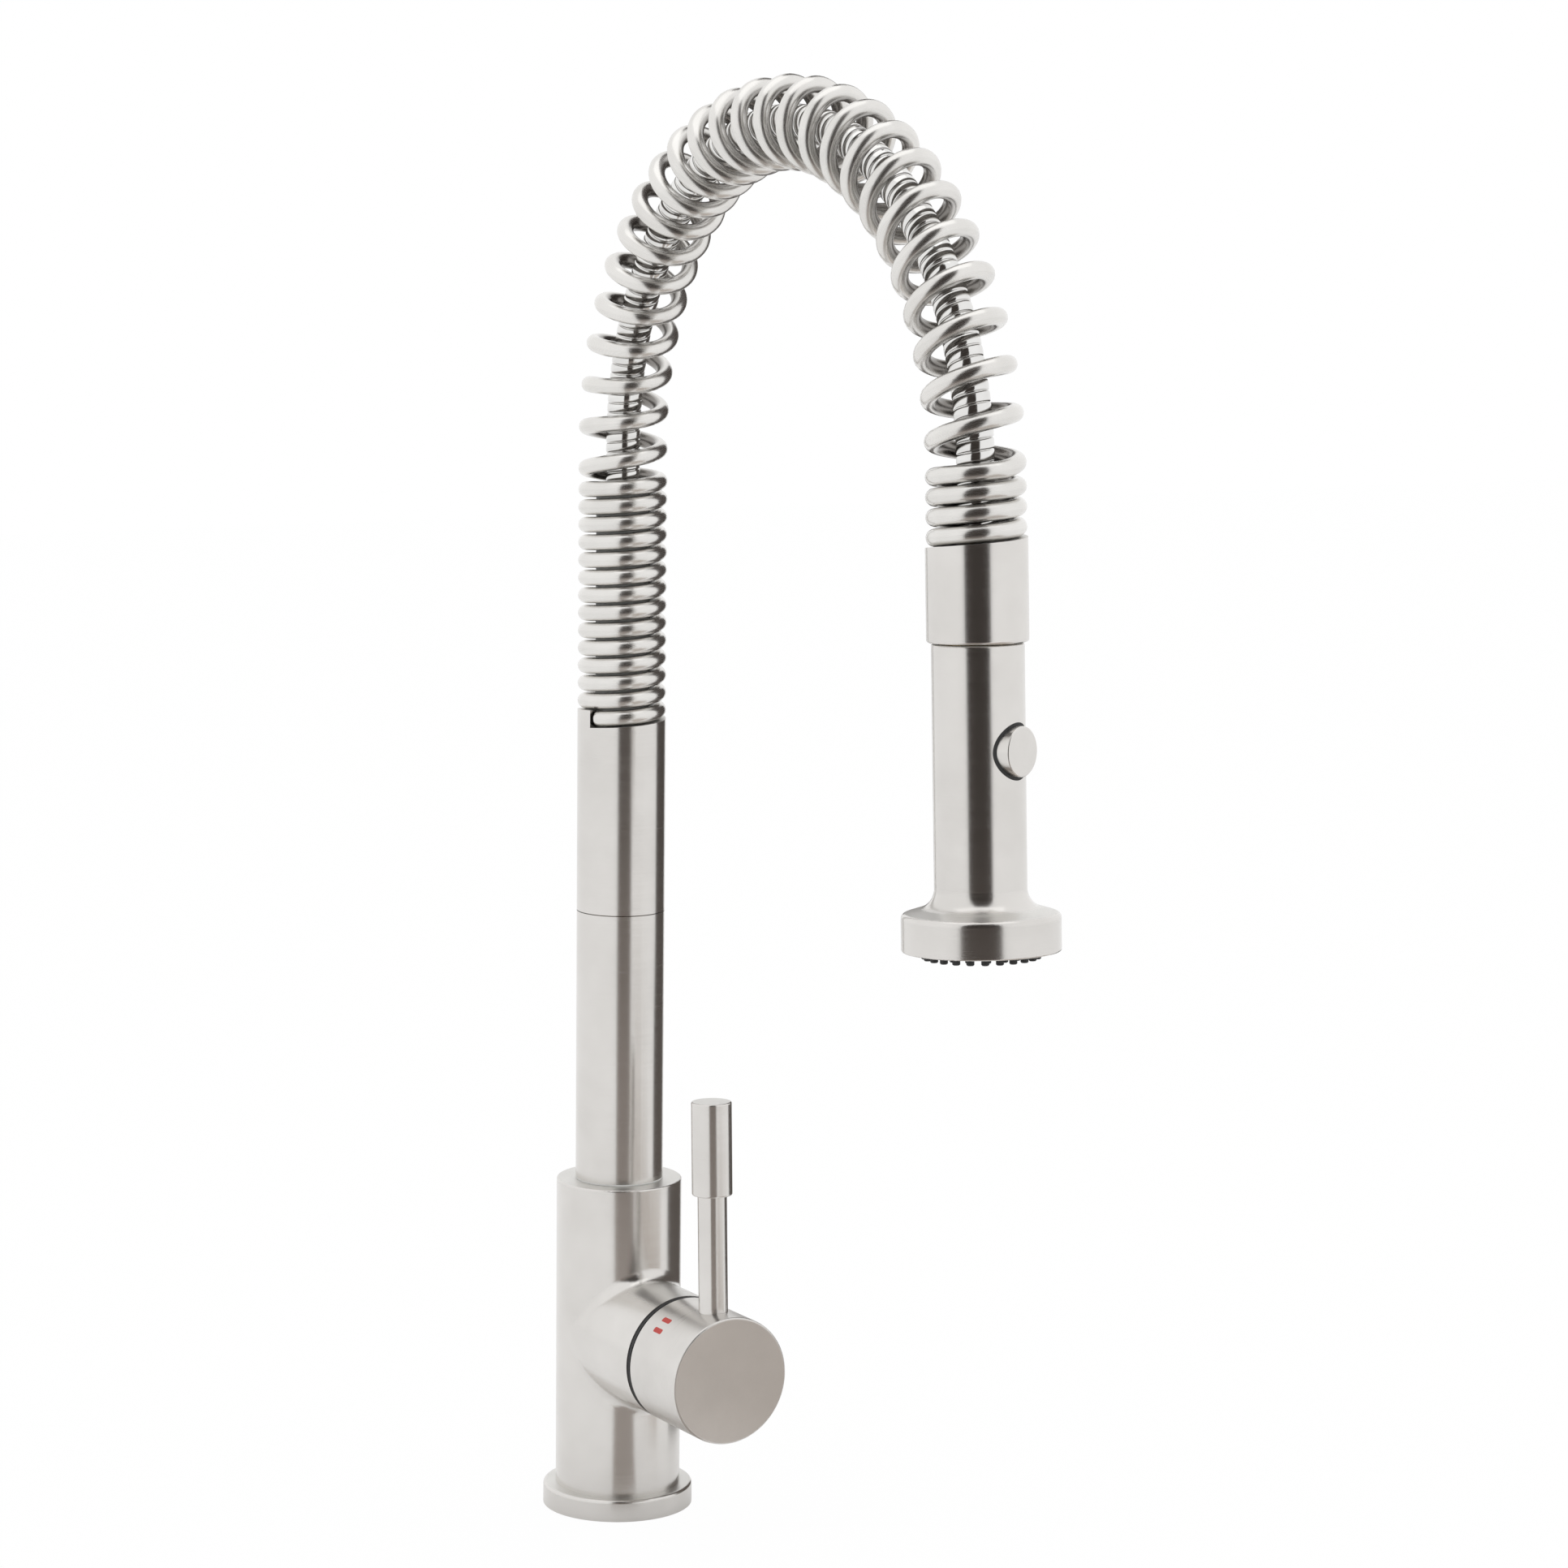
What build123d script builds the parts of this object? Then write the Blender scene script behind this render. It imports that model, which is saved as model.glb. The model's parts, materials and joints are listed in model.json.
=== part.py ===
from build123d import *
from math import asin, cos, hypot, pi, radians, sin, sqrt
import os

os.makedirs("parts", exist_ok=True)

# Sizes are in millimetres. The origin is on the column's axis, in the deck's plane.
# The spout and the handle's boss both point along +X.

# Fits that recur
fit = 0.05                    # clearance of parts that slide or screw into each other
rest_gap = 0.3                # clearance where a moving part only comes close

# Column, flange and deck fixing
body_radius = 22.5
well_floor = 6.6              # solid metal between the cartridge and the riser's well
body_edge = 0.6
junction_fillet = 4.5
flange_radius = 27.0
flange_height = 7.8
flange_edge = 1.2
foot_radius = 20.5            # column's foot inside the flange
foot_recess = 1.0             # the foot stands this far above the deck
seal_land = 1.0               # flange wall inside the seal's groove
seal_width = 3.5
seal_height = 1.6
shank_radius = 16.5
shank_bore = 12.5
shank_grip = 20.0             # shank screwed this far into the column
shank_undercut = 0.8
shank_smooth = 40.0           # plain stretch, as long as the thickest deck
shank_thread = 16.5           # threaded stretch below it
thread_relief = 1.5           # groove where the thread runs out
relief_depth = 0.7            # inside the plain end
shank_pilot = 6.0             # plain end below the groove
pilot_radius = 15.7
thread_pitch = 1.5
thread_depth = 0.8
washer_radius = 27.5
rubber_washer_height = 3.0
steel_washer_height = 2.0
nut_flats = 46.0
nut_height = 9.0
nut_edge = 0.8
well_radius = 14.5
well_top = 40.0               # ceiling of the hose well, where the inlets screw in
inlet_radius = 5.0
inlet_depth = 12.0
inlet_spread = 6.0            # each inlet's distance from the middle plane
channel_radius = 2.7
channel_behind = 8.0          # upright inlet channels, behind the cartridge
outlet_channel_radius = 3.4
outlet_behind = 12.0          # upright channel from the cartridge to the riser

# Boss and cartridge, along +X from the column's axis
boss_axis_height = 64.4
boss_length = 46.5            # to the rim of its domed front
pivot_depth = 22.0            # lever's pivot, behind that rim
dome_step = 1.2               # the dome's foot is this much narrower than the boss
dome_foot = 1.6               # straight foot below the dome
dome_seal_width = 0.8         # rubber ring round the foot
boss_thread_wall = 3.9        # boss wall round the retaining nut
cartridge_radius = 17.5
cartridge_depth = 42.5        # cartridge's back, behind the boss's rim
base_height = 4.0
housing_height = 26.0
housing_wall = 2.6
neck_radius = 10.0            # rotor's neck in the housing's front
neck_reach = 2.0              # neck in front of the housing
fixed_disc_height = 3.5
port_radius = 2.4
port_rise = 6.7               # inlet ports above the boss axis
outlet_radius = 3.0
outlet_drop = 5.5
moving_disc_radius = 11.5
moving_disc_height = 4.6
mixing_radius = 6.3
mixing_drop = 1.5
mixing_depth = 1.0
rotor_plate = 3.0
nut_ring_height = 6.0
nut_ring_wall = 7.0
nut_slot_width = 3.0
nut_slot_depth = 2.0

# Handle
lift_angle = 18.0             # full flow
dome_gap = 2.0                # between the boss's rim and the cap's bowl
cap_length = 30.9
cap_edge = 0.8
stem_radius = 3.0
stem_grip = 15.0              # stem's length inside the cap
hub_radius = 4.2
hub_width = 8.0
ball_radius = 2.2
ball_arm = 8.8                # ball's centre behind the pivot
ball_neck_radius = 1.6
pivot_pin_radius = 1.5
pivot_pin_length = 18.0
lever_lean = 2.0              # top towards the riser
lever_at = 68.9               # where the lever's axis meets the boss axis
rod_radius = 5.1
rod_seat = 12.5               # rod starts this far above the boss axis
grip_start = 63.5             # along the lever from the boss axis
grip_length = 32.9
grip_radius = 7.05
grip_edge = 0.6
grip_socket = 20.0
set_screw_radius = 2.5
set_screw_length = 8.0
set_screw_key = 2.5

# Temperature marks, two dashes on each side of the cap
mark_length = 5.2
mark_width = 2.0
mark_depth = 0.35
mark_inset = 6.6              # from the cap's rear rim
mark_angle = 35.7             # first dash, round from the top
mark_step = 12.0

# Riser
riser_radius = 15.7
riser_wall = 2.0
riser_seam = 218.2
seam_gap = 0.3
slip_washer_height = 0.5
spigot_radius = 15.0
spigot_depth = 31.0
spigot_rise = 18.0            # spigot inside the riser tube
spigot_bore = 7.0
fitting_bore = 8.2            # wider bore for the hose fitting
fitting_depth = 11.0
ring_section = 0.8
ring_first = 8.0              # lowest seal ring above the spigot's end
ring_spacing = 5.0
retainer_drop = 12.0          # retaining screw, below the column's top
retainer_radius = 2.5
retainer_tip = 1.6
retainer_groove = 2.0
coupling_length = 27.0
coupling_wall = 2.4
floor_gap = 1.0               # spigot above the well's floor

# Spring and arch
wire_radius = 2.85
coil_radius = 12.9            # spring's axis to the wire's centre
close_pitch = 6.24
arch_radius = 112.0
arch_turn = 177.0
arch_start = 384.2
wire_start = 288.2            # wire's centre where it leaves the riser
start_angle = 110.0           # round the spring's axis from the outer side
close_turns = 13.71           # on the riser
open_turns = 24.96            # free part, up to the end of the arch
end_turns = 3.67              # close wound above the collar
seat_turn = 4.2               # degrees from the wire's end to the step that it meets
head_height = 12.0            # solid heads under the wire's ends

# Sleeve inside the close turns
guide_radius = 9.4
guide_wall = 1.4
guide_flange = 6.0
guide_length = 104.0

# Hose
liner_radius = 4.0
liner_bore = 3.0
armour_crest = 6.0
armour_root = 5.2
armour_bore = 4.15
rib_count = 161
armour_start = 272.0
armour_into_collar = 33.0     # below the arch's end
liner_into_collar = 41.0
ferrule_height = 9.0
ferrule_floor = 2.5
hex_height = 6.0
hex_flats = 18.0
barb_length = 9.0
barb_bore = 2.0

# Collar, along the handset's axis from the arch's end
collar_radius = 15.95
collar_wall = 1.8
collar_edge = 1.0
collar_end = 53.4
collar_gap = 0.4              # seam to the handset
cone_top = 28.5
cone_flange_radius = 12.0
cone_flange_height = 2.0
cone_neck_radius = 5.4
cone_neck_length = 6.0
cone_radius = 8.4
cone_height = 3.0
cap_nut_flats = 21.0
cap_nut_floor = 3.8
cap_nut_length = 15.0
hose_washer_height = 1.4
bush_height = 6.0
bush_wall = 1.7

# Handset
handset_radius = 14.5
handset_edge = 0.6
handset_wall = 1.4
inlet_thread_radius = 9.65
inlet_thread = 8.0
inlet_body = 11.0
inlet_bore = 5.0
valve_bore = 7.0
valve_seat_height = 2.0
valve_seat_bore = 3.6
poppet_radius = 5.2
poppet_height = 1.5
poppet_stem_radius = 1.5
poppet_stem = 6.2
valve_guide_height = 2.5
valve_guide_port = 1.1
valve_wire = 0.25
valve_turns = 3
core_end = 126.0
core_bore = 3.5
core_port = 1.5
core_port_at = 3.0            # the spool's two outlets, each side of the middle
feed_radius = 1.5
feed_circle = 9.5
feed_count = 6
flare_start = 130.0
flare_radius = 6.5
flare_angle = 73.0            # turned from the handset's axis
head_radius = 25.0
head_corner = 1.8
head_end = 149.6
head_edge = 0.5
manifold_height = 2.5
manifold_bore = 3.5
chamber_height = 2.9
mat_height = 1.6
plate_height = 3.2
plate_recess = 0.2
nozzle_radius = 1.25
nozzle_chamfer = 0.3
nozzle_reach = 2.6            # below the plate
inner_nozzle_count = 14
inner_nozzle_circle = 12.6
outer_nozzle_count = 24
outer_nozzle_circle = 17.6
aerator_radius = 8.5
aerator_bore = 6.5
aerator_floor = 1.5
mesh_hole = 0.8
mesh_spacing = 2.4

# Spray button, square to the handset's axis
button_at = 86.8
button_turn = 21.5            # round from +X towards +Y
button_radius = 7.9
button_proud = 2.0
button_edge = 0.5
button_depth = 8.0
button_travel = 2.5
button_ring_width = 1.0
button_ring_seat = 9.5        # ring's back, from the handset's axis
spool_radius = 4.0
spool_back = 7.0              # spool's length behind the handset's axis
spool_waist = 2.6
spool_waist_start = -1.5
spool_waist_length = 6.0
diverter_spring_room = 4.5
diverter_wire = 0.3
diverter_turns = 3

# Derived places
body_height = boss_axis_height + cartridge_radius + well_floor + floor_gap + spigot_depth
retainer_height = body_height - retainer_drop
boss_pivot = boss_length - pivot_depth
dome_foot_radius = body_radius - dome_step
dome_radius = hypot(dome_foot_radius, pivot_depth + dome_foot)
dome_bore = dome_radius * sin(radians(lift_angle + 1) + asin(stem_radius / dome_radius))
bowl_radius = hypot(body_radius, pivot_depth) + dome_gap
cap_rim = boss_pivot + sqrt(bowl_radius ** 2 - body_radius ** 2)
cap_face = cap_rim + cap_length
shank_top = foot_recess + shank_grip
washer_top = -shank_smooth
cartridge_back = boss_length - cartridge_depth
channel_x = cartridge_back - channel_behind
outlet_x = cartridge_back - outlet_behind
housing_start = cartridge_back + base_height
cartridge_front = housing_start + housing_height
cavity_radius = cartridge_radius - housing_wall
moving_disc_start = housing_start + fixed_disc_height + fit
rotor_start = moving_disc_start + moving_disc_height + fit
cavity_end = rotor_start + rotor_plate + fit
nut_ring_radius = body_radius - boss_thread_wall
nut_ring_end = cartridge_front + nut_ring_height
ball_at = boss_pivot - ball_arm
disc_travel = ball_arm * sin(radians(lift_angle))
riser_bore = riser_radius - riser_wall
riser_start = body_height + fit + slip_washer_height
spigot_end = body_height - spigot_depth
riser_well = spigot_end - floor_gap
spigot_top = riser_start + spigot_rise
fitting_start = spigot_top - fitting_depth
hex_top = spigot_top + hex_height
riser_low = wire_start - wire_radius - rest_gap
riser_head = riser_low - head_height
head_bore = guide_radius + fit
guide_bore = guide_radius - guide_wall
turn_angle = radians(arch_turn)
arch_length = arch_radius * turn_angle
spout_length = arch_start + arch_length
open_start = wire_start + close_turns * close_pitch
all_turns = close_turns + open_turns + end_turns
collar_low = end_turns * close_pitch + wire_radius + rest_gap
collar_head = collar_low + head_height
cone_seat = collar_head + fit
cone_neck = cone_seat + cone_flange_height
cone_start = cone_neck + cone_neck_length
washer_start = cone_start + cone_height
inlet_start = washer_start + hose_washer_height
inlet_shoulder = inlet_start + inlet_thread
inlet_end = inlet_shoulder + inlet_body
handset_start = collar_end + collar_gap
handset_bore = handset_radius - handset_wall
core_radius = handset_bore - fit
core_start = inlet_end + fit
valve_guide_start = inlet_end - valve_guide_height
poppet_start = inlet_shoulder + valve_seat_height + fit
button_back = handset_radius + button_proud - button_depth
button_ring_radius = button_radius + fit + button_ring_width
spool_bore_end = spool_back + diverter_spring_room
head_bore_radius = head_radius - handset_wall
plate_start = head_end - plate_recess - plate_height
mat_start = plate_start - mat_height
manifold_end = mat_start - chamber_height
manifold_start = manifold_end - manifold_height

# The spout's end, the handset's axis and its outer side
spout_end = Vector(arch_radius * (1 - cos(turn_angle)), 0, arch_start + arch_radius * sin(turn_angle))
handset_down = Vector(sin(turn_angle), 0, cos(turn_angle))
handset_side = Vector(-cos(turn_angle), 0, sin(turn_angle))
down_handset = Plane(origin=spout_end, x_dir=handset_side, z_dir=(0, 1, 0))
handset_axis = Axis(spout_end, handset_down)

# The boss, the lever and the spray button
along_boss = Plane(origin=(0, 0, boss_axis_height), x_dir=(1, 0, 0), z_dir=(0, -1, 0))
boss_axis = Axis((0, 0, boss_axis_height), (1, 0, 0))
lever_foot = Vector(lever_at, 0, boss_axis_height)
lever_up = Vector(-sin(radians(lever_lean)), 0, cos(radians(lever_lean)))
button_out = handset_side * cos(radians(button_turn)) + Vector(0, sin(radians(button_turn)), 0)


def boss_plane(x, y=0, rise=0):
    """Plane square to the boss axis, at x, shifted sideways and up."""
    return Plane(origin=(x, y, boss_axis_height + rise), x_dir=(0, 1, 0), z_dir=(1, 0, 0))


def cross_plane(width):
    """Plane square to the pivot's axis, at half a width on its far side, facing back."""
    return Plane(origin=(boss_pivot, width / 2, boss_axis_height), z_dir=(0, -1, 0))


def lever_plane(reach):
    """Plane square to the lever, this far above the boss axis."""
    return Plane(origin=lever_foot + lever_up * reach, x_dir=(0, 1, 0), z_dir=lever_up)


def handset_plane(depth):
    """Plane square to the handset's axis, this far below the arch's end."""
    return Plane(origin=spout_end + handset_down * depth, x_dir=handset_side, z_dir=handset_down)


def button_plane(reach):
    """Plane square to the button's axis, this far from the handset's axis."""
    middle = spout_end + handset_down * button_at
    return Plane(origin=middle + button_out * reach, x_dir=handset_down, z_dir=button_out)


def bar(plane, radius, length):
    """Round bar from a plane along its normal."""
    with BuildSketch(plane) as section:
        Circle(radius)
    extrude(section.sketch, amount=length)


def tube(plane, outer, inner, length):
    """Round tube from a plane along its normal."""
    with BuildSketch(plane) as section:
        Circle(outer)
        Circle(inner, mode=Mode.SUBTRACT)
    extrude(section.sketch, amount=length)


def drill(plane, radius, length):
    """Round hole from a plane along its normal."""
    with BuildSketch(plane) as section:
        Circle(radius)
    extrude(section.sketch, amount=length, mode=Mode.SUBTRACT)


def keep(piece, name):
    """Label a finished piece and write it."""
    piece.part.label = name
    export_step(piece.part, f"parts/{name}.step")


def spout_point(length):
    """Point and direction on the spout's centre line, its length counted from z = 0."""
    if length <= arch_start:
        return Vector(0, 0, length), Vector(0, 0, 1)
    if length < spout_length:
        swept = (length - arch_start) / arch_radius
        place = Vector(arch_radius * (1 - cos(swept)), 0, arch_start + arch_radius * sin(swept))
        return place, Vector(sin(swept), 0, cos(swept))
    return spout_end + handset_down * (length - spout_length), handset_down


def off_spout(length, angle):
    """Unit vector square to the spout's centre line, angle from its outer side towards -Y."""
    along = spout_point(length)[1]
    return Vector(-along.Z, 0, along.X) * cos(angle) + Vector(0, -1, 0) * sin(angle)


def spring_place(turns):
    """Centre of the spring's wire, so many turns from its end on the riser."""
    end_of_open = close_turns + open_turns
    if turns < close_turns:
        length = wire_start + turns * close_pitch
    elif turns < end_of_open:
        length = open_start + (spout_length - open_start) * (turns - close_turns) / open_turns
    else:
        length = spout_length + (turns - end_of_open) * close_pitch
    angle = radians(start_angle) + 2 * pi * turns
    return spout_point(length)[0] + off_spout(length, angle) * coil_radius


def wound_path(place, turns, end_turn):
    """Wire centre line of a coil: biarcs of a quarter turn between two short straight ends."""
    small = 0.0001
    count = round((turns - 2 * end_turn) / 0.25)
    stops = [end_turn + (turns - 2 * end_turn) * i / count for i in range(count + 1)]
    points = [place(stop) for stop in stops]
    headings = [(place(stop + small) - place(stop - small)).normalized() for stop in stops]
    headings[0] = (points[0] - place(0)).normalized()
    headings[-1] = (place(turns) - points[-1]).normalized()
    path = [Line(place(0), points[0])]
    for here, there, start, finish in zip(points, points[1:], headings, headings[1:]):
        chord = here - there
        bend = 2 * (1 - start.dot(finish))
        lean = chord.dot(start + finish)
        reach = (lean + sqrt(lean * lean + bend * chord.dot(chord))) / bend
        middle = (here + there + (start - finish) * reach) * 0.5
        heading = ((there - finish * reach) - (here + start * reach)).normalized()
        path.append(TangentArc(here, middle, tangent=start))
        path.append(TangentArc(middle, there, tangent=heading))
    path.append(Line(points[-1], place(turns)))
    return path


def least_gap(path, wire, turns):
    """Least gap of a wound wire to itself, measured on points along it."""
    samples = 10
    points = [edge @ (i / samples) for edge in path for i in range(samples)]
    one_turn = round(len(points) / turns)
    gaps = []
    for i, point in enumerate(points):
        next_turn = points[i + one_turn // 2:i + one_turn * 3 // 2]
        gaps += [(point - other).length for other in next_turn]
    return min(gaps) - 2 * wire


def wind(path, wire):
    """Sweep round wire along connected arcs."""
    with BuildSketch(Plane(origin=path[0] @ 0, z_dir=path[0] % 0)) as section:
        Circle(wire)
    sweep(section.sketch, path=Wire(path))


def small_spring(plane, radius, wire, length, turns):
    """Wire centre line of a short spring that stands on a plane."""
    def place(count):
        angle = 2 * pi * count
        rise = wire + fit + (length - 2 * wire - 2 * fit) * count / turns
        return plane.from_local_coords(Vector(radius * cos(angle), radius * sin(angle), rise))
    return wound_path(place, turns, wire / (pi * radius))


def seat_wire(plane, outer):
    """Cut a ramp of one turn that rises from the plane, with a step for the wire's end."""
    height = close_pitch - fit
    ramp = plane.location * Helix(close_pitch, close_pitch, (outer + head_bore) / 2)
    start = Plane(origin=ramp @ 0, x_dir=plane.x_dir, z_dir=-plane.y_dir)
    with BuildSketch(start) as section:
        with Locations((0, height / 2)):
            Rectangle(outer - head_bore + 2, height)
    sweep(section.sketch, path=ramp, is_frenet=True, mode=Mode.SUBTRACT)


# Flange that covers the deck hole, with a groove for its seal
seal_inner = foot_radius + seal_land
with BuildPart() as base_flange:
    tube(Plane.XY, flange_radius, foot_radius + fit, flange_height)
    top_edges = base_flange.edges().filter_by(GeomType.CIRCLE).group_by(Axis.Z)[-1]
    fillet(top_edges.sort_by(SortBy.RADIUS)[-1], flange_edge)
    with BuildSketch(Plane.XY):
        Circle(seal_inner + seal_width)
        Circle(seal_inner, mode=Mode.SUBTRACT)
    extrude(amount=seal_height, mode=Mode.SUBTRACT)
keep(base_flange, "base_flange")

with BuildPart() as base_seal:
    tube(Plane.XY, seal_inner + seal_width - fit, seal_inner + fit, seal_height - fit)
keep(base_seal, "base_seal")

# Hollow shank through the deck: plain above, threaded below, with a plain end
pilot_top = washer_top - shank_thread - thread_relief
shank_end = pilot_top - shank_pilot
with BuildPart() as threaded_shank:
    tube(Plane.XY.offset(shank_end), shank_radius, shank_bore, shank_top - shank_end)
    with BuildSketch(Plane.XY):
        Circle(shank_radius + 1)
        Circle(shank_radius - shank_undercut, mode=Mode.SUBTRACT)
    extrude(amount=foot_recess, mode=Mode.SUBTRACT)
    with BuildSketch(Plane.XY.offset(shank_end)):
        Circle(shank_radius + 1)
        Circle(pilot_radius, mode=Mode.SUBTRACT)
    extrude(amount=shank_pilot, mode=Mode.SUBTRACT)
    with BuildSketch(Plane.XY.offset(pilot_top)):
        Circle(shank_radius + 1)
        Circle(pilot_radius - relief_depth, mode=Mode.SUBTRACT)
    extrude(amount=thread_relief, mode=Mode.SUBTRACT)
    with BuildSketch(Plane.XZ):
        for i in range(1, int(shank_thread / thread_pitch)):
            z = washer_top - thread_pitch * i
            with BuildLine():
                Polyline(
                    (shank_radius + thread_depth, z + thread_pitch * 0.7),
                    (shank_radius - thread_depth, z),
                    (shank_radius + thread_depth, z - thread_pitch * 0.7),
                    close=True,
                )
            make_face()
    revolve(axis=Axis.Z, mode=Mode.SUBTRACT)
keep(threaded_shank, "threaded_shank")

# Washers and nut under the deck
steel_washer_top = washer_top - rubber_washer_height
nut_top = steel_washer_top - steel_washer_height
with BuildPart() as deck_rubber_washer:
    tube(Plane.XY.offset(steel_washer_top), washer_radius, shank_radius + fit, rubber_washer_height)
keep(deck_rubber_washer, "deck_rubber_washer")

with BuildPart() as deck_steel_washer:
    tube(Plane.XY.offset(nut_top), washer_radius, shank_radius + fit, steel_washer_height)
keep(deck_steel_washer, "deck_steel_washer")

with BuildPart() as shank_nut:
    with BuildSketch(Plane.XY.offset(nut_top - nut_height)):
        RegularPolygon(nut_flats / 2, 6, major_radius=False)
        Circle(shank_radius + fit, mode=Mode.SUBTRACT)
    extrude(amount=nut_height)
    chamfer(shank_nut.edges().filter_by(GeomType.LINE).group_by(Axis.Z)[0], nut_edge)
keep(shank_nut, "shank_nut")

# Column with the handle's boss, domed at the front, and its waterways
with BuildPart() as body:
    bar(Plane.XY.offset(flange_height), body_radius, body_height - flange_height)
    with BuildSketch(along_boss):
        with BuildLine():
            Polyline((boss_pivot + dome_radius, 0), (0, 0), (0, body_radius), (boss_length, body_radius))
            Polyline(
                (boss_length, body_radius),
                (boss_length, dome_foot_radius),
                (boss_length + dome_foot, dome_foot_radius),
            )
            ThreePointArc(
                (boss_length + dome_foot, dome_foot_radius),
                (boss_pivot + dome_radius * cos(pi / 8), dome_radius * sin(pi / 8)),
                (boss_pivot + dome_radius, 0),
            )
        make_face()
    revolve(axis=boss_axis)
    round_or_straight = (GeomType.CIRCLE, GeomType.LINE)
    junction = [edge for edge in body.edges() if edge.geom_type not in round_or_straight]
    fillet(junction, junction_fillet)
    fillet(body.edges().filter_by(GeomType.CIRCLE).group_by(Axis.Z)[-1], body_edge)
    bar(Plane.XY.offset(foot_recess), foot_radius, flange_height - foot_recess)
    drill(Plane.XY.offset(foot_recess), shank_radius + fit, shank_grip)
    drill(Plane.XY.offset(shank_top), well_radius, well_top - shank_top)
    drill(Plane.XY.offset(riser_well), spigot_radius + fit, body_height - riser_well)
    drill(boss_plane(cartridge_back), cartridge_radius + fit, cartridge_front - cartridge_back)
    drill(boss_plane(cartridge_front), nut_ring_radius, body_radius + dome_radius)
    for side in (-1, 1):
        inlet_plane = Plane(origin=(channel_x, side * inlet_spread, well_top))
        across = boss_plane(channel_x, side * inlet_spread, port_rise)
        drill(inlet_plane, inlet_radius, inlet_depth)
        drill(inlet_plane, channel_radius, boss_axis_height + port_rise + channel_radius - well_top)
        drill(across, port_radius, cartridge_back - channel_x)
    outlet_floor = boss_axis_height - outlet_drop - outlet_channel_radius
    drill(Plane(origin=(outlet_x, 0, outlet_floor)), outlet_channel_radius, riser_well - outlet_floor)
    drill(boss_plane(outlet_x, 0, -outlet_drop), outlet_radius, cartridge_back - outlet_x)
    drill(Plane(origin=(-body_radius, 0, retainer_height), z_dir=(1, 0, 0)), retainer_radius, body_radius)
keep(body, "body")


def water_ports():
    """Two inlets and one outlet in the plane of the sketch."""
    with Locations((inlet_spread, port_rise), (-inlet_spread, port_rise)):
        Circle(port_radius, mode=Mode.SUBTRACT)
    with Locations((0, -outlet_drop)):
        Circle(outlet_radius, mode=Mode.SUBTRACT)


# Cartridge, from the back: base, fixed disc, housing, retaining nut
with BuildPart() as cartridge_base:
    with BuildSketch(boss_plane(cartridge_back)):
        Circle(cartridge_radius)
        water_ports()
    extrude(amount=base_height)
keep(cartridge_base, "cartridge_base")

with BuildPart() as fixed_disc:
    with BuildSketch(boss_plane(housing_start)):
        Circle(cavity_radius - fit)
        water_ports()
    extrude(amount=fixed_disc_height)
keep(fixed_disc, "fixed_disc")

with BuildPart() as cartridge_housing:
    tube(boss_plane(housing_start), cartridge_radius, neck_radius + fit, housing_height)
    drill(boss_plane(housing_start), cavity_radius, cavity_end - housing_start)
keep(cartridge_housing, "cartridge_housing")

with BuildPart() as cartridge_nut:
    tube(boss_plane(cartridge_front), nut_ring_radius - fit, nut_ring_radius - nut_ring_wall, nut_ring_height)
    with BuildSketch(boss_plane(nut_ring_end - nut_slot_depth)):
        Rectangle(2 * nut_ring_radius + 1, nut_slot_width)
        Rectangle(nut_slot_width, 2 * nut_ring_radius + 1)
    extrude(amount=nut_slot_depth, mode=Mode.SUBTRACT)
keep(cartridge_nut, "cartridge_nut")


def dome_point(across):
    """Point of the dome's outline at a distance from the boss axis."""
    return boss_pivot + sqrt(dome_radius ** 2 - across ** 2), across


# Rubber ring round the foot of the boss's dome
with BuildPart() as dome_seal:
    seal_radius = dome_foot_radius + fit
    tube(boss_plane(boss_length), seal_radius + dome_seal_width, seal_radius, dome_foot)
keep(dome_seal, "dome_seal")

# Domed ring that closes the boss round the lever's stem
with BuildPart() as dome_ring:
    ring_outer = nut_ring_radius - fit
    inner_point = dome_point(dome_bore)
    outer_point = dome_point(ring_outer)
    with BuildSketch(along_boss):
        with BuildLine():
            Polyline(outer_point, (nut_ring_end, ring_outer), (nut_ring_end, dome_bore), inner_point)
            ThreePointArc(inner_point, dome_point((ring_outer + dome_bore) / 2), outer_point)
        make_face()
    revolve(axis=boss_axis)
keep(dome_ring, "dome_ring")

# Rotor that carries the lever's pivot, slotted for the stem
rotor_neck_end = cartridge_front + neck_reach
with BuildPart() as cartridge_rotor:
    bar(boss_plane(rotor_start), cavity_radius - fit, rotor_plate)
    bar(boss_plane(rotor_start), neck_radius, rotor_neck_end - rotor_start)
    with BuildSketch(boss_plane(rotor_start + rotor_plate)):
        Rectangle(hub_width + 2 * fit, 2 * cavity_radius)
    extrude(amount=rotor_neck_end, mode=Mode.SUBTRACT)
    ball_slot = 2 * (ball_radius + rest_gap)
    with BuildSketch(boss_plane(rotor_start)):
        with Locations((0, disc_travel / 2)):
            Rectangle(ball_slot, disc_travel + ball_slot)
    extrude(amount=rotor_plate, mode=Mode.SUBTRACT)
    drill(cross_plane(2 * neck_radius), pivot_pin_radius, 2 * neck_radius)
keep(cartridge_rotor, "cartridge_rotor")

with BuildPart() as pivot_pin:
    bar(cross_plane(pivot_pin_length), pivot_pin_radius, pivot_pin_length)
keep(pivot_pin, "pivot_pin")

# Moving disc: driven by the lever's ball, with its mixing hollow at the back
with BuildPart() as moving_disc:
    bar(boss_plane(moving_disc_start), moving_disc_radius, moving_disc_height)
    drill(boss_plane(moving_disc_start, 0, -mixing_drop), mixing_radius, mixing_depth)
    drill(boss_plane(ball_at - ball_radius - fit), ball_radius + fit, moving_disc_height)
keep(moving_disc, "moving_disc")

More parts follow.
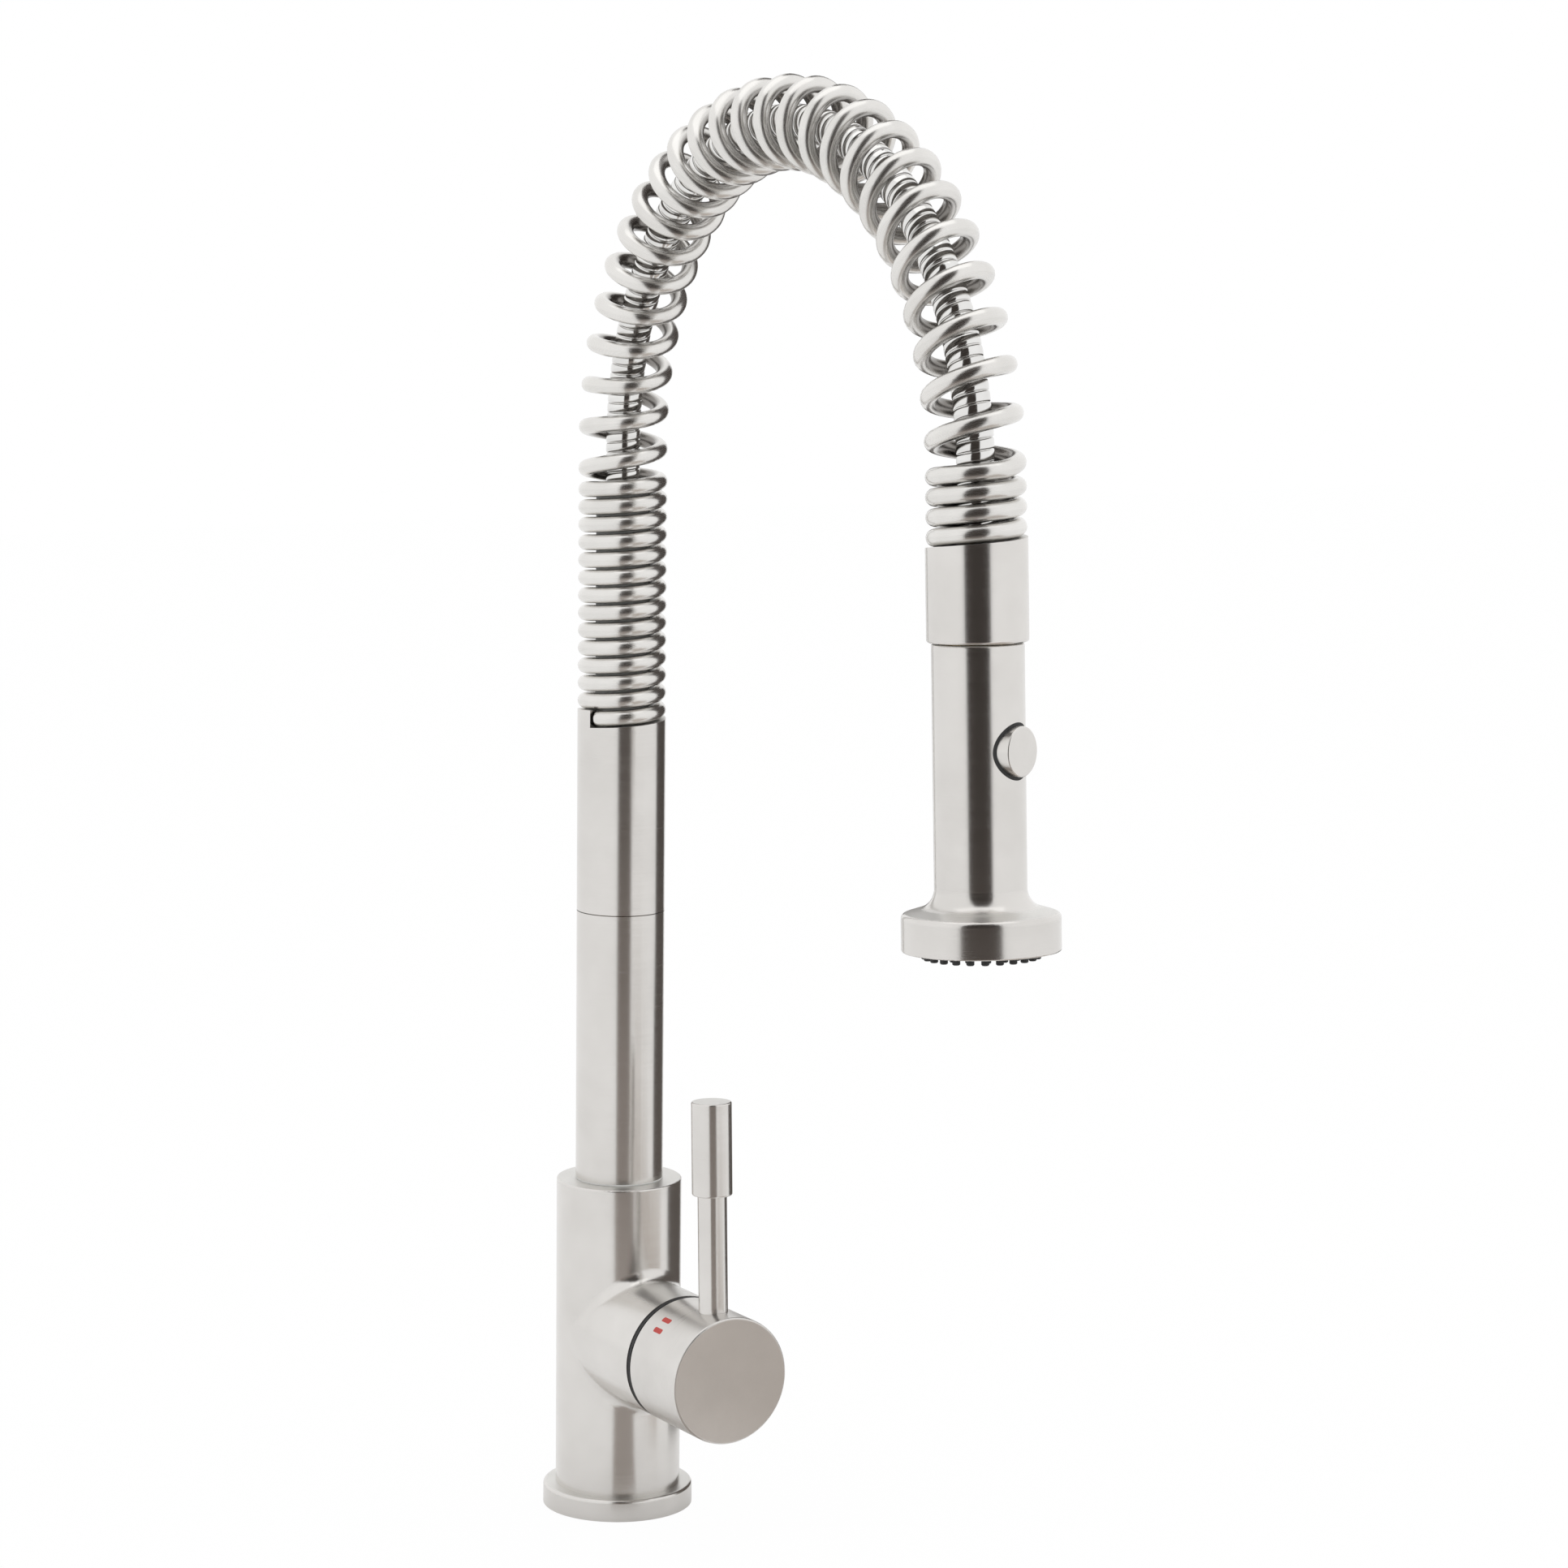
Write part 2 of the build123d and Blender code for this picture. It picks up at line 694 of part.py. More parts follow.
# Lever's stem with its hub and ball
stem_end = boss_pivot + bowl_radius + stem_grip
with BuildPart() as lever_stem:
    bar(cross_plane(hub_width), hub_radius, hub_width)
    bar(boss_plane(boss_pivot), stem_radius, stem_end - boss_pivot)
    bar(boss_plane(ball_at), ball_neck_radius, ball_arm)
    with Locations((ball_at, 0, boss_axis_height)):
        Sphere(ball_radius)
    drill(cross_plane(hub_width), pivot_pin_radius + fit, hub_width)
keep(lever_stem, "lever_stem")


def make_mark(angle, name):
    """Short painted dash let into the cap's side, angle round from the top towards +Y."""
    outward = Vector(0, sin(radians(angle)), cos(radians(angle)))
    middle = Vector(cap_rim + mark_inset + mark_length / 2, 0, boss_axis_height)
    with BuildPart() as mark:
        tube(boss_plane(cap_rim), body_radius, body_radius - mark_depth, cap_length)
        with BuildSketch(Plane(origin=middle, x_dir=(1, 0, 0), z_dir=outward)):
            RectangleRounded(mark_length, mark_width, mark_width / 3)
        extrude(amount=body_radius + mark_depth, mode=Mode.INTERSECT)
    keep(mark, name)
    return mark.part


marks = [
    make_mark(-mark_angle, "hot_mark_1"),
    make_mark(-mark_angle - mark_step, "hot_mark_2"),
    make_mark(mark_angle, "cold_mark_1"),
    make_mark(mark_angle + mark_step, "cold_mark_2"),
]

# Cap that turns and tilts round the dome
screw_x = boss_pivot + bowl_radius + stem_grip / 2
with BuildPart() as handle_cap:
    bowl_bottom = (boss_pivot + bowl_radius, 0)
    bowl_side = (boss_pivot + bowl_radius * cos(pi / 8), bowl_radius * sin(pi / 8))
    with BuildSketch(along_boss):
        with BuildLine():
            ThreePointArc(bowl_bottom, bowl_side, (cap_rim, body_radius))
            Polyline((cap_rim, body_radius), (cap_face, body_radius), (cap_face, 0), bowl_bottom)
        make_face()
    revolve(axis=boss_axis)
    fillet(handle_cap.edges().filter_by(GeomType.CIRCLE).group_by(Axis.X)[-1], cap_edge)
    drill(boss_plane(boss_pivot), stem_radius + fit / 2, stem_end + fit - boss_pivot)
    drill(lever_plane(rod_seat), rod_radius + fit, body_radius)
    drill(Plane(origin=(screw_x, 0, boss_axis_height - body_radius)), set_screw_radius + fit, body_radius)
    for mark_part in marks:
        add(mark_part, mode=Mode.SUBTRACT)
keep(handle_cap, "handle_cap")

with BuildPart() as handle_set_screw:
    screw_low = boss_axis_height - stem_radius - fit - set_screw_length
    bar(Plane(origin=(screw_x, 0, screw_low)), set_screw_radius, set_screw_length)
    with BuildSketch(Plane(origin=(screw_x, 0, screw_low))):
        RegularPolygon(set_screw_key / 2, 6, major_radius=False)
    extrude(amount=set_screw_length / 2, mode=Mode.SUBTRACT)
keep(handle_set_screw, "handle_set_screw")

with BuildPart() as lever_rod:
    bar(lever_plane(rod_seat), rod_radius, grip_start + grip_socket - rod_seat)
keep(lever_rod, "lever_rod")

with BuildPart() as lever_grip:
    bar(lever_plane(grip_start), grip_radius, grip_length)
    fillet(lever_grip.edges().filter_by(GeomType.CIRCLE), grip_edge)
    drill(lever_plane(grip_start), rod_radius + fit, grip_socket + fit)
keep(lever_grip, "lever_grip")

# Swivel joint of the riser: washer, spigot, two seal rings and the screw that holds it in
with BuildPart() as slip_washer:
    tube(Plane.XY.offset(body_height + fit), riser_radius, spigot_radius + fit, slip_washer_height)
keep(slip_washer, "slip_washer")

seal_heights = [spigot_end + ring_first + ring_spacing * i for i in range(2)]
with BuildPart() as riser_spigot:
    bar(Plane.XY.offset(spigot_end), spigot_radius, riser_start - spigot_end)
    bar(Plane.XY.offset(riser_start), riser_bore - fit, spigot_rise)
    drill(Plane.XY.offset(spigot_end), spigot_bore, spigot_top - spigot_end)
    drill(Plane.XY.offset(fitting_start), fitting_bore, fitting_depth)
    with BuildSketch(Plane.XZ):
        for z in seal_heights:
            with Locations((spigot_radius, z)):
                Rectangle(4 * ring_section, 2 * (ring_section + fit))
        with Locations((spigot_radius, retainer_height)):
            Rectangle(2 * retainer_groove, 2 * (retainer_tip + rest_gap))
    revolve(axis=Axis.Z, mode=Mode.SUBTRACT)
keep(riser_spigot, "riser_spigot")

for z, name in zip(seal_heights, ("riser_seal_lower", "riser_seal_upper")):
    with BuildPart() as riser_seal:
        with BuildSketch(Plane.XZ):
            with Locations((spigot_radius - ring_section + fit / 2, z)):
                Circle(ring_section)
        revolve(axis=Axis.Z)
    keep(riser_seal, name)

with BuildPart() as retainer_screw:
    screw_back = Plane(origin=(rest_gap - body_radius, 0, retainer_height), z_dir=(1, 0, 0))
    screw_length = body_radius - rest_gap - spigot_radius - fit
    bar(screw_back, retainer_radius - fit, screw_length)
    bar(screw_back, retainer_tip, screw_length + retainer_groove - rest_gap)
    with BuildSketch(screw_back):
        RegularPolygon(set_screw_key / 2, 6, major_radius=False)
    extrude(amount=retainer_radius, mode=Mode.SUBTRACT)
keep(retainer_screw, "retainer_screw")

# Riser: two tubes joined by an inner sleeve, the upper one with a ramp for the spring
with BuildPart() as riser_lower_tube:
    tube(Plane.XY.offset(riser_start), riser_radius, riser_bore, riser_seam - riser_start)
keep(riser_lower_tube, "riser_lower_tube")

with BuildPart() as riser_coupling:
    sleeve_start = riser_seam + seam_gap / 2 - coupling_length / 2
    tube(Plane.XY.offset(sleeve_start), riser_bore - fit, riser_bore - coupling_wall, coupling_length)
keep(riser_coupling, "riser_coupling")

with BuildPart() as riser_upper_tube:
    upper_start = riser_seam + seam_gap
    riser_top = riser_low + close_pitch - 2 * fit
    toward_step = off_spout(riser_low, radians(start_angle - seat_turn))
    tube(Plane.XY.offset(upper_start), riser_radius, head_bore, riser_top - upper_start)
    drill(Plane.XY.offset(upper_start), riser_bore, riser_head - upper_start)
    seat_wire(Plane(origin=(0, 0, riser_low), x_dir=toward_step, z_dir=(0, 0, 1)), riser_radius)
keep(riser_upper_tube, "riser_upper_tube")

# Sleeve that keeps the close turns upright
guide_foot = riser_head - guide_flange
with BuildPart() as spring_guide:
    bar(Plane.XY.offset(guide_foot), guide_radius, guide_length)
    bar(Plane.XY.offset(guide_foot), riser_bore - fit, guide_flange)
    drill(Plane.XY.offset(guide_foot), guide_bore, guide_length)
keep(spring_guide, "spring_guide")

# Spring: close turns on the riser, an open arch, close turns on the collar
with BuildPart() as spring:
    spring_path = wound_path(spring_place, all_turns, wire_radius / (pi * coil_radius))
    wind(spring_path, wire_radius)
keep(spring, "spring")
print(f"spring: least gap to itself {least_gap(spring_path, wire_radius, all_turns):.2f} mm")

# Water hose: fitting in the spigot, liner, and a ribbed armour round it
with BuildPart() as hose_fitting:
    bar(Plane.XY.offset(fitting_start), fitting_bore - fit, fitting_depth)
    with BuildSketch(Plane.XY.offset(spigot_top)):
        RegularPolygon(hex_flats / 2, 6, major_radius=False)
    extrude(amount=hex_height)
    bar(Plane.XY.offset(hex_top), liner_bore - fit, barb_length)
    drill(Plane.XY.offset(fitting_start), barb_bore, fitting_depth + hex_height + barb_length)
keep(hose_fitting, "hose_fitting")


def spout_route(start, end):
    """Path along the spout's centre line: straight, round the arch and straight."""
    with BuildLine() as route:
        Line((0, 0, start), (0, 0, arch_start))
        TangentArc((0, 0, arch_start), spout_end, tangent=(0, 0, 1))
        Line(spout_end, spout_point(end)[0])
    return route.line


with BuildPart() as hose_liner:
    with BuildSketch(Plane.XY.offset(hex_top + fit)):
        Circle(liner_radius)
        Circle(liner_bore, mode=Mode.SUBTRACT)
    sweep(path=spout_route(hex_top + fit, spout_length + liner_into_collar))
keep(hose_liner, "hose_liner")

armour_end = spout_length + armour_into_collar
rib_pitch = (armour_end - armour_start) / rib_count
rib_profile = ((0, armour_root), (0.18, armour_crest), (0.62, armour_crest), (0.8, armour_root))
with BuildPart() as hose_armour:
    rings = [(i + share, radius) for i in range(rib_count) for share, radius in rib_profile]
    for rib, radius in rings + [(rib_count, armour_root)]:
        place, along = spout_point(armour_start + rib * rib_pitch)
        with BuildSketch(Plane(origin=place, x_dir=(0, 1, 0), z_dir=along)):
            Circle(radius)
    loft(ruled=True)
    with BuildSketch(Plane.XY.offset(armour_start)):
        Circle(armour_bore)
    sweep(path=spout_route(armour_start, armour_end), mode=Mode.SUBTRACT)
keep(hose_armour, "hose_armour")

with BuildPart() as armour_ferrule:
    bar(Plane.XY.offset(armour_start - ferrule_floor), guide_bore - fit, ferrule_height)
    drill(Plane.XY.offset(armour_start - ferrule_floor), liner_radius + fit, ferrule_height)
    drill(Plane.XY.offset(armour_start), armour_crest + fit, ferrule_height)
keep(armour_ferrule, "armour_ferrule")

# Collar over the spring's end, with the hose's cone and a bush for the handset
collar_bore = collar_radius - collar_wall
with BuildPart() as spring_collar:
    collar_top = collar_low - close_pitch + 2 * fit
    collar_ramp = spout_length + collar_low
    toward_end = off_spout(collar_ramp, radians(start_angle + seat_turn) + 2 * pi * all_turns)
    ramp_middle = handset_plane(collar_low).origin
    tube(handset_plane(collar_top), collar_radius, head_bore, collar_end - collar_top)
    rims = spring_collar.edges().filter_by(GeomType.CIRCLE).group_by(handset_axis)[-1]
    fillet(rims.sort_by(SortBy.RADIUS)[-1], collar_edge)
    drill(handset_plane(collar_head), collar_bore, collar_end - collar_head)
    seat_wire(Plane(origin=ramp_middle, x_dir=toward_end, z_dir=-handset_down), collar_radius)
keep(spring_collar, "spring_collar")

with BuildPart() as hose_cone:
    bar(handset_plane(cone_top), head_bore - fit, cone_seat - cone_top)
    bar(handset_plane(cone_seat), cone_flange_radius, cone_flange_height)
    bar(handset_plane(cone_neck), cone_neck_radius, cone_neck_length)
    bar(handset_plane(cone_start), cone_radius, cone_height)
    drill(handset_plane(cone_top), barb_bore, washer_start - cone_top)
    drill(handset_plane(cone_top), liner_radius + fit, liner_into_collar + fit - cone_top)
    drill(handset_plane(cone_top), armour_crest + fit, armour_into_collar + fit - cone_top)
keep(hose_cone, "hose_cone")

with BuildPart() as swivel_bush:
    tube(handset_plane(collar_end - bush_height), collar_bore - fit, collar_bore - bush_wall, bush_height)
keep(swivel_bush, "swivel_bush")

# Handset's inlet: cap nut, washer and threaded inlet with the check valve
cap_nut_start = cone_start - rest_gap - cap_nut_floor
with BuildPart() as hose_nut:
    with BuildSketch(handset_plane(cap_nut_start)):
        RegularPolygon(cap_nut_flats / 2, 6, major_radius=False)
        Circle(cone_neck_radius + rest_gap, mode=Mode.SUBTRACT)
    extrude(amount=cap_nut_length)
    drill(handset_plane(cap_nut_start + cap_nut_floor), inlet_thread_radius + fit, cap_nut_length)
keep(hose_nut, "hose_nut")

with BuildPart() as hose_washer:
    tube(handset_plane(washer_start + fit), cone_radius, inlet_bore, hose_washer_height - fit)
keep(hose_washer, "hose_washer")

with BuildPart() as handset_inlet:
    bar(handset_plane(inlet_start), inlet_thread_radius, inlet_thread)
    bar(handset_plane(inlet_shoulder), core_radius, inlet_body)
    drill(handset_plane(inlet_start), inlet_bore, inlet_thread)
    drill(handset_plane(inlet_shoulder), valve_bore, inlet_body)
keep(handset_inlet, "handset_inlet")

with BuildPart() as valve_seat:
    tube(handset_plane(inlet_shoulder), valve_bore - fit, valve_seat_bore, valve_seat_height)
keep(valve_seat, "valve_seat")

with BuildPart() as valve_poppet:
    bar(handset_plane(poppet_start), poppet_radius, poppet_height)
    bar(handset_plane(poppet_start + poppet_height), poppet_stem_radius, poppet_stem)
keep(valve_poppet, "valve_poppet")

with BuildPart() as valve_guide:
    with BuildSketch(handset_plane(valve_guide_start)):
        Circle(valve_bore - fit)
        Circle(poppet_stem_radius + fit, mode=Mode.SUBTRACT)
        with PolarLocations((valve_bore + poppet_stem_radius) / 2, 6):
            Circle(valve_guide_port, mode=Mode.SUBTRACT)
    extrude(amount=valve_guide_height)
keep(valve_guide, "valve_guide")

valve_foot = poppet_start + poppet_height
valve_coil = (poppet_stem_radius + poppet_radius) / 2
valve_room = valve_guide_start - valve_foot
valve_path = small_spring(handset_plane(valve_foot), valve_coil, valve_wire, valve_room, valve_turns)
with BuildPart() as valve_spring:
    wind(valve_path, valve_wire)
keep(valve_spring, "valve_spring")
print(f"valve spring: least gap to itself {least_gap(valve_path, valve_wire, valve_turns):.2f} mm")

# Handset's outer shell, a grip that flares into the spray head
flare = radians(flare_angle)


def skin_outline(tube_radius, bend, band_radius):
    """Half section of the grip and head, from the axis out and down."""
    bend_radius = tube_radius + bend * (1 - cos(flare))
    bend_depth = flare_start + bend * sin(flare)
    band_depth = bend_depth + (band_radius - bend_radius) * cos(flare) / sin(flare)
    middle = (tube_radius + bend * (1 - cos(flare / 2)), flare_start + bend * sin(flare / 2))
    Polyline((0, head_end), (0, handset_start), (tube_radius, handset_start), (tube_radius, flare_start))
    ThreePointArc((tube_radius, flare_start), middle, (bend_radius, bend_depth))
    Polyline((bend_radius, bend_depth), (band_radius, band_depth), (band_radius, head_end), (0, head_end))


with BuildPart() as handset_shell:
    with BuildSketch(down_handset):
        with BuildLine():
            skin_outline(handset_radius, flare_radius, head_radius)
        make_face()
    revolve(axis=handset_axis)
    band_edges = handset_shell.edges().filter_by(GeomType.CIRCLE).group_by(SortBy.RADIUS)[-1]
    fillet(band_edges.sort_by(handset_axis)[0], head_corner)
    fillet(handset_shell.edges().filter_by(GeomType.CIRCLE).sort_by(handset_axis)[-1], head_edge)
    fillet(handset_shell.edges().filter_by(GeomType.CIRCLE).sort_by(handset_axis)[0], handset_edge)
    with BuildSketch(down_handset):
        with BuildLine():
            skin_outline(handset_bore, flare_radius + handset_wall, head_bore_radius)
        make_face()
    revolve(axis=handset_axis, mode=Mode.SUBTRACT)
    drill(button_plane(0), button_ring_radius + fit, 2 * handset_radius)
keep(handset_shell, "handset_shell")

# Waterway core: the spool's bore crosses it, with two outlets below
with BuildPart() as diverter_body:
    bar(handset_plane(core_start), core_radius, core_end - core_start)
    drill(handset_plane(core_start), core_bore, button_at - core_start)
    drill(button_plane(-spool_bore_end), spool_radius + fit, spool_bore_end + core_radius)
    drill(button_plane(button_back - button_travel - rest_gap), button_radius + fit, core_radius)
    drill(button_plane(button_ring_seat), button_ring_radius + fit, core_radius)
    for reach in (-core_port_at, core_port_at):
        port_top = button_plane(reach).origin
        drill(Plane(origin=port_top, x_dir=handset_side, z_dir=handset_down), core_port, core_end)
keep(diverter_body, "diverter_body")

diverter_foot = button_plane(-spool_bore_end)
diverter_path = small_spring(
    diverter_foot, spool_waist, diverter_wire, diverter_spring_room, diverter_turns
)
with BuildPart() as diverter_spring:
    wind(diverter_path, diverter_wire)
keep(diverter_spring, "diverter_spring")
print(f"diverter spring: least gap to itself {least_gap(diverter_path, diverter_wire, diverter_turns):.2f} mm")

with BuildPart() as diverter_spool:
    bar(button_plane(-spool_back), spool_radius, spool_back + button_back)
    with BuildSketch(button_plane(spool_waist_start)):
        Circle(spool_radius + 1)
        Circle(spool_waist, mode=Mode.SUBTRACT)
    extrude(amount=spool_waist_length, mode=Mode.SUBTRACT)
keep(diverter_spool, "diverter_spool")

with BuildPart() as spray_button:
    bar(button_plane(button_back), button_radius, button_depth)
    face_edge = spray_button.edges().filter_by(GeomType.CIRCLE).sort_by(Axis(spout_end, button_out))[-1]
    fillet(face_edge, button_edge)
keep(spray_button, "spray_button")

# Rubber ring round the button, flush with the skin
with BuildPart() as button_ring:
    bar(handset_plane(button_at - 2 * button_radius), handset_radius - fit, 4 * button_radius)
    with BuildSketch(button_plane(button_ring_seat + fit)):
        Circle(button_ring_radius)
        Circle(button_radius + fit, mode=Mode.SUBTRACT)
    extrude(amount=handset_radius, mode=Mode.INTERSECT)
keep(button_ring, "button_ring")

# Spray head: manifold, rubber nozzles, plate and aerator
with BuildPart() as spray_manifold:
    manifold_top = handset_plane(core_end + fit)
    manifold_length = manifold_end - core_end - fit
    bar(manifold_top, core_radius - fit, manifold_length)
    bar(handset_plane(manifold_start), head_bore_radius - fit, manifold_height)
    drill(manifold_top, manifold_bore, manifold_length)
    with BuildSketch(manifold_top):
        with PolarLocations(feed_circle, feed_count):
            Circle(feed_radius)
    extrude(amount=manifold_length, mode=Mode.SUBTRACT)
keep(spray_manifold, "spray_manifold")


def nozzle_circles(radius, mode):
    """A circle at every nozzle."""
    with PolarLocations(inner_nozzle_circle, inner_nozzle_count):
        Circle(radius, mode=mode)
    with PolarLocations(outer_nozzle_circle, outer_nozzle_count):
        Circle(radius, mode=mode)


with BuildPart() as nozzle_mat:
    tube(handset_plane(mat_start), head_bore_radius - fit, aerator_radius + fit, mat_height)
    with BuildSketch(handset_plane(plate_start)):
        nozzle_circles(nozzle_radius, Mode.ADD)
    extrude(amount=plate_height + nozzle_reach)
    tips = nozzle_mat.edges().filter_by(GeomType.CIRCLE).group_by(handset_axis)[-1]
    chamfer(tips, nozzle_chamfer)
keep(nozzle_mat, "nozzle_mat")

with BuildPart() as spray_plate:
    with BuildSketch(handset_plane(plate_start)):
        Circle(head_bore_radius - fit)
        Circle(aerator_radius + fit, mode=Mode.SUBTRACT)
        nozzle_circles(nozzle_radius + fit, Mode.SUBTRACT)
    extrude(amount=plate_height)
keep(spray_plate, "spray_plate")

with BuildPart() as aerator:
    aerator_end = head_end + plate_recess
    aerator_height = aerator_end - manifold_end
    bar(handset_plane(manifold_end), aerator_radius, aerator_height)
    drill(handset_plane(manifold_end), aerator_bore, aerator_height - aerator_floor)
    with BuildSketch(handset_plane(aerator_end - aerator_floor)):
        with HexLocations(mesh_spacing / 2, 5, 5):
            Circle(mesh_hole)
    extrude(amount=aerator_floor, mode=Mode.SUBTRACT)
keep(aerator, "aerator")
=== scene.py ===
import bmesh
import bpy
import json
from math import cos, pi, radians, sin
from mathutils import Matrix, Vector


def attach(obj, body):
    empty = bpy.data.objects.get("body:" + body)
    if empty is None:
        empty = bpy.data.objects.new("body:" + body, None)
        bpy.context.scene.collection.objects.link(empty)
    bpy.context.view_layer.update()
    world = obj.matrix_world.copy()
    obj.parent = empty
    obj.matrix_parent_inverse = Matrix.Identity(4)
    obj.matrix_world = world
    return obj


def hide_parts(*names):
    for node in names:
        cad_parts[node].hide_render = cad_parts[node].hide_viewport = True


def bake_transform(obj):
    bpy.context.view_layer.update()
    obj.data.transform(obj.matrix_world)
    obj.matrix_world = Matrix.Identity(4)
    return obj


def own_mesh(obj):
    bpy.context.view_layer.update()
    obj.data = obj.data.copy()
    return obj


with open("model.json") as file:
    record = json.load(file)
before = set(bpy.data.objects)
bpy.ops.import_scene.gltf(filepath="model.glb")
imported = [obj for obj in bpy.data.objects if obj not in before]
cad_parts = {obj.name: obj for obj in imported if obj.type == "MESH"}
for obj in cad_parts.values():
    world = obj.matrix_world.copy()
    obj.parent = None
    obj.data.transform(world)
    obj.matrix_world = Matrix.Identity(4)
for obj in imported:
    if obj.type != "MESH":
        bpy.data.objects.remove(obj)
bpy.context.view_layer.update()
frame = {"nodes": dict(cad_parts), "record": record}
nodes = frame["nodes"]
print("frame loaded:", len(nodes), "nodes")

# the spout's centre line runs up the column's axis, round the arch and down to the handset
spout = {
    "archRadius": 0.112,
    "archTurn": radians(177),    # so the handset hangs 3 degrees off plumb
    "archStart": 0.3842,         # above the deck
}
spoutLength = spout["archStart"] + spout["archRadius"] * spout["archTurn"]
archEnd = Vector((spout["archRadius"] * (1 - cos(spout["archTurn"])), 0,
                  spout["archStart"] + spout["archRadius"] * sin(spout["archTurn"])))
handsetDown = Vector((sin(spout["archTurn"]), 0, cos(spout["archTurn"])))
handsetSide = Vector((-cos(spout["archTurn"]), 0, sin(spout["archTurn"])))


def addObject(name, data):
    obj = bpy.data.objects.new(name, data)
    bpy.context.scene.collection.objects.link(obj)
    return obj


# camera
camera = {
    "place": Vector((1.3306, -0.7381, 0.4803)),
    "heading": radians(148.80),
    "pitch": radians(8.09),
    "roll": radians(0.62),
    "lens": 99.0,
    "sensorWidth": 36,
    "nearest": 0.05,
    "furthest": 50,
}


def makeCamera(c):
    level = Vector((cos(c["heading"]), sin(c["heading"]), 0))
    right = Vector((level.y, -level.x, 0))
    ahead = level * cos(c["pitch"]) - Vector((0, 0, sin(c["pitch"])))
    up = level * sin(c["pitch"]) + Vector((0, 0, cos(c["pitch"])))
    tiltedRight = right * cos(c["roll"]) + up * sin(c["roll"])
    tiltedUp = up * cos(c["roll"]) - right * sin(c["roll"])
    data = bpy.data.cameras.new("photoCamera")
    data.lens = c["lens"]
    data.sensor_width = c["sensorWidth"]
    data.clip_start = c["nearest"]
    data.clip_end = c["furthest"]
    cam = addObject("photoCamera", data)
    turn = Matrix((tiltedRight, tiltedUp, -ahead)).transposed().to_4x4()
    cam.matrix_world = Matrix.Translation(c["place"]) @ turn
    bpy.context.scene.camera = cam


makeCamera(camera)
bpy.context.scene.view_settings.view_transform = "Standard"
print("camera made")


# a material's node tree, with short ways to add nodes to it
class Tree:
    def __init__(self, name):
        self.material = bpy.data.materials.new(name)
        self.material.use_nodes = True
        self.tree = self.material.node_tree
        self.shader = self.tree.nodes["Principled BSDF"]
        self.surface = self.tree.nodes["Material Output"].inputs["Surface"]

    def add(self, kind, **values):
        node = self.tree.nodes.new(kind)
        for key, value in values.items():
            setattr(node, key, value)
        return node

    def join(self, source, target):
        self.tree.links.new(source, target)

    def feed(self, socket, value):
        # a value is another node's output, a constant or nothing
        if value is None:
            return
        if hasattr(value, "is_output"):
            self.join(value, socket)
        else:
            socket.default_value = value

    def set(self, name, value):
        self.feed(self.shader.inputs[name], value)

    def math(self, kind, a, b=None):
        node = self.add("ShaderNodeMath", operation=kind)
        self.feed(node.inputs[0], a)
        self.feed(node.inputs[1], b)
        return node.outputs[0]

    def vector(self, kind, a, b=None, scale=None):
        node = self.add("ShaderNodeVectorMath", operation=kind)
        self.feed(node.inputs[0], a)
        if kind == "SCALE":
            self.feed(node.inputs["Scale"], scale)
        else:
            self.feed(node.inputs[1], b)
        return node.outputs["Value" if kind == "DOT_PRODUCT" else "Vector"]

    def noise(self, vector, scale=1.0, detail=2.0, rough=0.5):
        node = self.add("ShaderNodeTexNoise")
        self.feed(node.inputs["Vector"], vector)
        self.feed(node.inputs["Scale"], scale)
        self.feed(node.inputs["Detail"], detail)
        self.feed(node.inputs["Roughness"], rough)
        return node.outputs["Fac"]

    def span(self, value, low, high, fromLow=0.0, fromHigh=1.0):
        node = self.add("ShaderNodeMapRange")
        self.feed(node.inputs["Value"], value)
        self.feed(node.inputs["From Min"], fromLow)
        self.feed(node.inputs["From Max"], fromHigh)
        self.feed(node.inputs["To Min"], low)
        self.feed(node.inputs["To Max"], high)
        return node.outputs["Result"]

    def mix(self, share, a, b):
        node = self.add("ShaderNodeMix", data_type="RGBA")
        self.feed(node.inputs["Factor"], share)
        self.feed(node.inputs[6], a)    # sockets 6, 7 and 2 are this node's colours
        self.feed(node.inputs[7], b)
        return node.outputs[2]

    def mixShaders(self, share, a, b):
        node = self.add("ShaderNodeMixShader")
        self.join(share, node.inputs[0])
        self.join(a.outputs[0], node.inputs[1])
        self.join(b.outputs[0], node.inputs[2])
        self.join(node.outputs[0], self.surface)

    def bump(self, height, strength, distance):
        node = self.add("ShaderNodeBump")
        self.feed(node.inputs["Height"], height)
        self.feed(node.inputs["Strength"], strength)
        self.feed(node.inputs["Distance"], distance)
        self.set("Normal", node.outputs["Normal"])
        return node.outputs["Normal"]


def shade(colour):
    return (*colour, 1.0)


white = shade((1, 1, 1))
black = shade((0, 0, 0))

# noise stays near its middle, so only that part of it is spread over a range
cloudMiddle = (0.35, 0.7)
grainMiddle = (0.3, 0.7)

# brushed steel, turned and brushed round an axis
brushing = {
    "colour": (0.745, 0.725, 0.70),
    "darker": (0.69, 0.67, 0.645),
    "roughness": (0.19, 0.27),
    "spread": 0.55,
    "linesPerMetre": 3800,
    "lineLength": 26,
    "lineBump": (0.12, 0.00006),
    "cloudScale": 45,
    "cloudRoughness": (-0.02, 0.02),
    "endColour": (0.76, 0.75, 0.725),
    "endDarker": 0.93,
    "endRoughness": (0.36, 0.46),
    "endGrain": 1500,
    "endFacing": (0.85, 0.98),    # how square to the axis a face is where it turns into an end
}
# the cap's end faces are rougher, a duller finish; their darker, warmer colour is a painted reflection
# of the warm shade they face
capBrushing = dict(brushing, roughness=(0.27, 0.35), endColour=(0.62, 0.585, 0.55))


